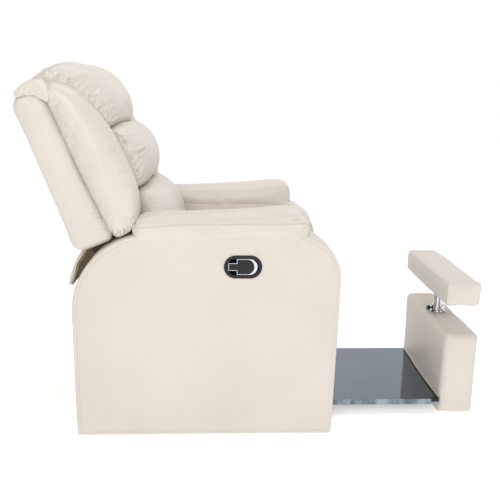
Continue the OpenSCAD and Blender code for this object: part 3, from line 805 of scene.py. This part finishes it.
def rear_flap():
    """A cream panel with a tan lining, hung under the shell round the pivot."""
    centre = (PIVOT.x - SHIFT, PIVOT.z)
    for name, r0, r1, mat, slot in (
        ("rear_flap_cover", 0.2600, 0.2685, CREAM, "cream_cover"),
        ("rear_flap_lining", 0.2560, 0.2599, MATS["tan_lining"], "tan_lining"),
    ):
        line = arc(*centre, r1, 138, 170, 40) + arc(*centre, r0, 170, 138, 40)
        verts, faces = pillow(
            resample(line, 200), -0.226, 0.226, 0.0016, 0.0, from_profile, face_rings=2, band_rings=30,
        )
        obj = mesh_object(name, verts, faces, mat, "backrest")
        swell(obj, 0.0006, 12.0, seed=4.0)
        if r0 > 0.258:
            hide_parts("rear_flap")
        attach(obj, "backrest")


def make_lining_and_shade_sheets():
    """Brown lining cloth that closes the sides of the back below the bolsters; its dark colour also paints in
    the shade on the arms' inner faces there.
    """
    px, pz = PIVOT.x - SHIFT, PIVOT.z
    # Dark brown: the lining's own colour with painted shade of the recess added into it.
    brown = cloth_weave("brown_lining_and_painted_shade", (0.100, 0.068, 0.036), (0.140, 0.098, 0.056))
    line = resample(arc(px, pz, 0.246, 88, 141, 60) + arc(px, pz, 0.120, 141, 88, 30), 220)
    for side in (-1, 1):
        y = side * 0.2225
        verts, faces = pillow(
            line, y - 0.0012, y + 0.0012, 0.001, 0.0, from_profile,
            face_rings=3, band_rings=1, centre=(px - 0.05, pz + 0.17),
        )
        name = "lining_and_shade_" + ("r" if side < 0 else "l")
        obj = mesh_object(name, verts, faces, brown, "backrest")
        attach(obj, "backrest")


# ---- Seat ----

def rounded_box(lo, hi, radius, crown, name, body, rings=30, count=200, power=5.0):
    """A cushion seen from above as a rounded rectangle, crowned on top."""
    cx, cy, hx, hy = (lo[0] + hi[0]) / 2, (lo[1] + hi[1]) / 2, (hi[0] - lo[0]) / 2, (hi[1] - lo[1]) / 2
    a = np.linspace(0, 2 * math.pi, 4 * count, endpoint=False)
    rim_x = np.sign(np.cos(a)) * np.abs(np.cos(a)) ** 0.22 * hx
    rim_y = np.sign(np.sin(a)) * np.abs(np.sin(a)) ** 0.22 * hy
    rim = resample(np.stack([rim_x, rim_y], 1), count)
    out = []
    for s in np.linspace(0.03, 1, 16, endpoint=False):
        out.append((s, lo[2]))
    for t in np.linspace(-math.pi / 2, math.pi / 2, rings):
        c, sn = math.cos(t), math.sin(t)
        z = (lo[2] + hi[2]) / 2 + (hi[2] - lo[2]) / 2 * math.copysign(abs(sn) ** (2 / power), sn)
        out.append((1 - radius / hx * (1 - c ** (2 / power)), z))
    for s in np.linspace(1, 0.03, 24)[1:]:
        out.append((s * (1 - radius / hx), hi[2] + crown * (1 - s ** 2.4)))
    shaped = []
    for s, z in out:
        shaped.append(np.column_stack([cx + rim[:, 0] * s, cy + rim[:, 1] * s, np.full(count, z)]))
    verts, faces = loft(shaped)
    return mesh_object(name, verts, faces, CREAM, body)


def make_seat():
    lo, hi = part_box("seat_cushion")
    low, high = (lo.x + 0.012, lo.y + 0.004, lo.z), (hi.x, hi.y - 0.004, hi.z - 0.006)
    obj = rounded_box(low, high, 0.03, 0.010, "seat_cushion_cover", "base")
    stuffed(obj, 0.008, 4.0, 0.010)
    swell(obj, 0.0030, 7.0, seed=15.0)
    settle(obj, "seat_cushion", fill=0.85)
    lo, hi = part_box("front_apron")
    x0, x1 = lo.x - SHIFT, hi.x - SHIFT
    line = [(x0, lo.z), (x1 - 0.006, lo.z), (x1, lo.z + 0.008)]
    line += [(x1, hi.z - 0.008), (x1 - 0.006, hi.z), (x0, hi.z)]
    verts, faces = pillow(
        resample(smooth_line(line, 2), 120), lo.y, hi.y, 0.006, 0.0, from_profile,
        face_rings=4, band_rings=40, band_crown=0.002,
    )
    apron = mesh_object("front_apron_cover", verts, faces, CREAM, "base")
    swell(apron, 0.0012, 10.0, seed=17.0)
    settle(apron, "front_apron", fill=0.5)


# ---- Footrest ----

def make_block():
    lo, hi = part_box("block_cover")
    x0, x1, r = lo.x - SHIFT, hi.x - SHIFT, 0.021
    rounded = arc(x0 + r, hi.z - r, r, 180, 90, 8) + arc(x1 - r, hi.z - r, r, 90, 0, 8)
    line = [(x0, lo.z)] + rounded + [(x1, lo.z)]
    verts, faces = pillow(
        resample(line, 300), lo.y - 0.001, hi.y + 0.001, 0.022, 0.003, from_profile,
        face_rings=16, band_rings=150, band_crown=0.002,
    )
    obj = mesh_object("footrest_block_cover", verts, faces, CREAM, "drawer")
    tray_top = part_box("drawer_tray")[1].z
    foot = [(lo.x, y, tray_top + 0.0035) for y in np.linspace(-0.215, 0.215, 9)]
    crease(obj, foot, 0.0030, 0.0065, fade=False, ridge=0.3)
    dip = coords(obj)
    d = np.hypot(dip[:, 0] - POST_X, dip[:, 1])
    top = dip[:, 2] > hi.z - 0.01
    dip[:, 2] -= np.where(top, 0.006 * np.exp(-(d / 0.050) ** 2), 0)
    put(obj, dip)
    tree = surface(obj)
    rng = np.random.default_rng(91)
    for k in range(11):
        a = 2 * math.pi * (k + rng.uniform(0, 0.7)) / 11
        reach = rng.uniform(0.045, 0.085)
        path = []
        for r in np.linspace(0.026, reach, 6):
            above = Vector((POST_X + r * math.cos(a), r * math.sin(a) * 1.3, hi.z + 0.1))
            hit = tree.ray_cast(above, Vector((0, 0, -1)))[0]
            if hit is not None:
                path.append(np.array(hit))
        crease(obj, path, 0.0055, rng.uniform(0.002, 0.004))
    swell(obj, 0.0016, 11.0, seed=19.0)
    settle(obj, "block_cover", fill=0.5)


def make_foot_pad():
    lo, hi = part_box("foot_pad_cushion")
    r = 0.011
    x0, x1 = lo.x - SHIFT, hi.x - SHIFT
    line = arc(x0 + r, lo.z + r, r, 180, 270, 8) + arc(x1 - r, lo.z + r, r, 270, 360, 8)
    line += arc(x1 - r, hi.z - r, r, 0, 90, 8) + arc(x0 + r, hi.z - r, r, 90, 180, 8)
    verts, faces = pillow(
        resample(line, 240), lo.y, hi.y, 0.012, 0.003, from_profile,
        face_rings=12, band_rings=70, band_crown=0.002,
    )
    obj = mesh_object("foot_pad_cover", verts, faces, CREAM, "foot_pad")
    stuffed(obj, 0.0045, 3.0, 0.002)
    for side in (-1, 1):
        y = side * (hi.y - 0.009)
        ring = [
            (lo.x + 0.002, y, lo.z + 0.010), (lo.x + 0.002, y, hi.z - 0.010), (lo.x + 0.014, y, hi.z + 0.001),
            (hi.x - 0.014, y, hi.z + 0.001), (hi.x - 0.002, y, hi.z - 0.010), (hi.x - 0.002, y, lo.z + 0.010),
        ]
        crease(obj, ring, 0.0022, 0.0014, fade=False, ridge=0.4)
    swell(obj, 0.0020, 13.0, seed=21.0)
    # The underside is flat round the post, clear of its collar when the pad is lowered.
    flat = coords(obj)
    reach = np.hypot(flat[:, 0] - POST_X, flat[:, 1])
    flat[:, 2] = np.maximum(flat[:, 2], lo.z - 0.001 - 0.3 * np.maximum(reach - 0.035, 0))
    put(obj, flat)
    settle(obj, "foot_pad_cushion", fill=0.7)


# ---- Stage ----

def area_light(name, place, aim, size, power, colour=(1, 1, 1)):
    data = bpy.data.lights.new(name, "AREA")
    data.shape = "RECTANGLE"
    data.size, data.size_y = size
    data.energy = power
    data.color = colour
    obj = bpy.data.objects.new(name, data)
    bpy.context.scene.collection.objects.link(obj)
    obj.location = place
    obj.rotation_mode = "QUATERNION"
    obj.rotation_quaternion = (Vector(aim) - Vector(place)).to_track_quat("-Z", "Y")
    return obj


def make_stage():
    bend = [(3.0 + 2.0 * math.sin(a), 2.0 - 2.0 * math.cos(a)) for a in np.linspace(0.05, math.pi / 2, 24)]
    sweep = [(-9.0, 0.0), (3.0, 0.0)] + bend + [(5.0, 7.0)]
    verts = [(x, y, z) for y, z in sweep for x in (-12.0, 12.0)]
    faces = [(2 * i, 2 * i + 1, 2 * i + 3, 2 * i + 2) for i in range(len(sweep) - 1)]
    mesh = bpy.data.meshes.new("studio_sweep")
    mesh.from_pydata(verts, [], faces)
    floor = bpy.data.objects.new("studio_sweep", mesh)
    bpy.context.scene.collection.objects.link(floor)
    mat, _, shader = material("studio_floor", (0.90, 0.90, 0.90), 0.7, specular=0.1)
    shader.inputs["Emission Color"].default_value = (1, 1, 1, 1)
    shader.inputs["Emission Strength"].default_value = 0.44
    mesh.materials.append(mat)
    world = bpy.data.worlds.new("studio")
    world.use_nodes = True
    world.node_tree.nodes["Background"].inputs["Color"].default_value = (1, 1, 1, 1)
    world.node_tree.nodes["Background"].inputs["Strength"].default_value = 0.37
    bpy.context.scene.world = world
    area_light("key", (-0.7, -3.1, 2.1), (0, 0, 0.5), (1.5, 1.5), 46)
    area_light("fill", (2.6, -2.2, 1.8), (0.2, 0, 0.4), (1.6, 1.6), 20)
    area_light("top", (0.3, 0.4, 3.2), (0, 0, 0.4), (2.0, 2.0), 30)
    scene = bpy.context.scene
    scene.view_settings.view_transform = "Standard"
    scene.view_settings.look = "None"


def make_camera():
    """The photograph's view: from the chair's right, a little above it."""
    yaw, pitch, turn = (math.radians(a) for a in (2.36, 13.13, 0.65))
    forward = Vector((math.sin(yaw) * math.cos(pitch), math.cos(yaw) * math.cos(pitch), -math.sin(pitch)))
    right = Vector((math.cos(yaw), -math.sin(yaw), 0))
    down = forward.cross(right)
    x = right * math.cos(turn) - down * math.sin(turn)
    y = -(right * math.sin(turn) + down * math.cos(turn))
    data = bpy.data.cameras.new("camera")
    data.sensor_width = 36
    data.lens = 48.456
    cam = bpy.data.objects.new("camera", data)
    bpy.context.scene.collection.objects.link(cam)
    cam.matrix_world = Matrix((x, y, -forward)).transposed().to_4x4()
    cam.location = (SHIFT, -2.1689, 0.9892)
    bpy.context.scene.camera = cam


paint_cad_nodes()
make_stage()
make_camera()
make_arms()
make_pads()
back_shell()
make_bolsters()
headrest()
middle_roll()
lumbar_roll()
top_band()
rear_flap()
make_lining_and_shade_sheets()
make_seat()
make_block()
make_foot_pad()
